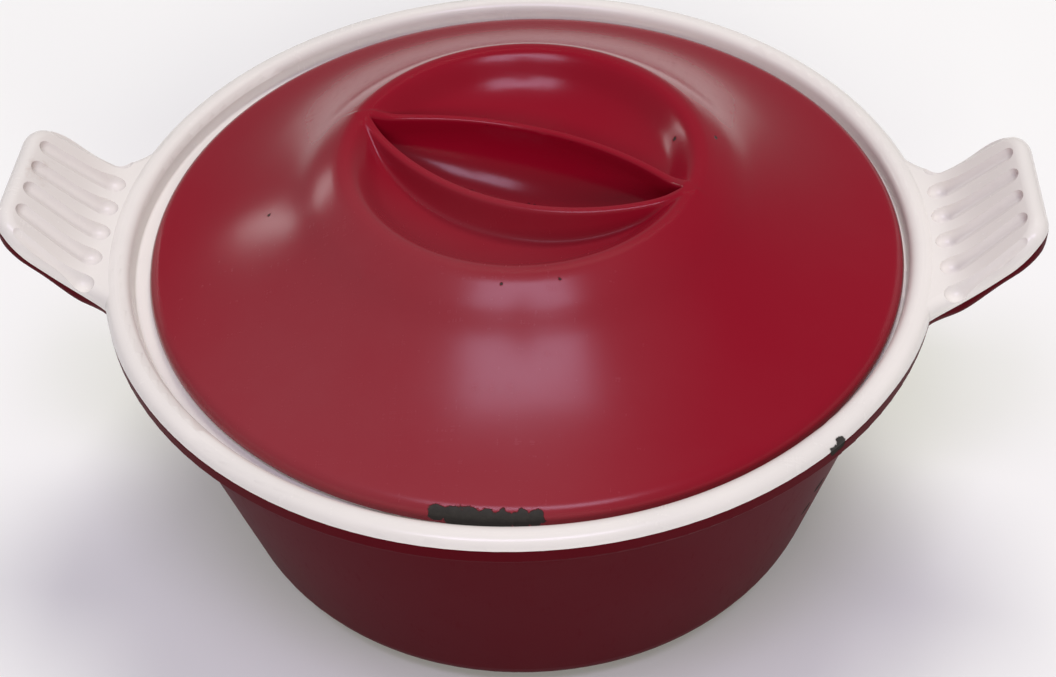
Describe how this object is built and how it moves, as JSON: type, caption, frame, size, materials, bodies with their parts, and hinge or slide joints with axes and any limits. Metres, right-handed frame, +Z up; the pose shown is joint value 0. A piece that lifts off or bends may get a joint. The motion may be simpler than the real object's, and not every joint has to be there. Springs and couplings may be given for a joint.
{
  "type": "enamelled cast iron casserole",
  "caption": "Round enamelled cast-iron casserole with upswept fluted tab handles and a loose domed lid whose ring and lens-shaped grip are cast in.",
  "frame": {"origin": "on the floor, under the middle of the pot", "axes": "+Z up along the pot's axis, X through the middle of both handles, -Y towards the viewer of the front side"},
  "size_m": [0.294, 0.24, 0.1275],
  "materials": {
    "bare_iron": "matte",
    "wine_enamel": "gloss",
    "crimson_enamel": "gloss",
    "cream_enamel": "gloss"
  },
  "bodies": {
    "pot": {"pot_casting": "bare_iron", "pot_outer_enamel": "wine_enamel", "pot_inner_enamel": "cream_enamel"},
    "lid": {"lid_casting": "bare_iron", "lid_outer_enamel": "crimson_enamel", "lid_inner_enamel": "cream_enamel"}
  },
  "joints": [
    {"name": "lid_lift", "type": "slide", "parent": "pot", "child": "lid", "axis": [0, 0, 1], "range_m": [0, 0.12]}
  ]
}
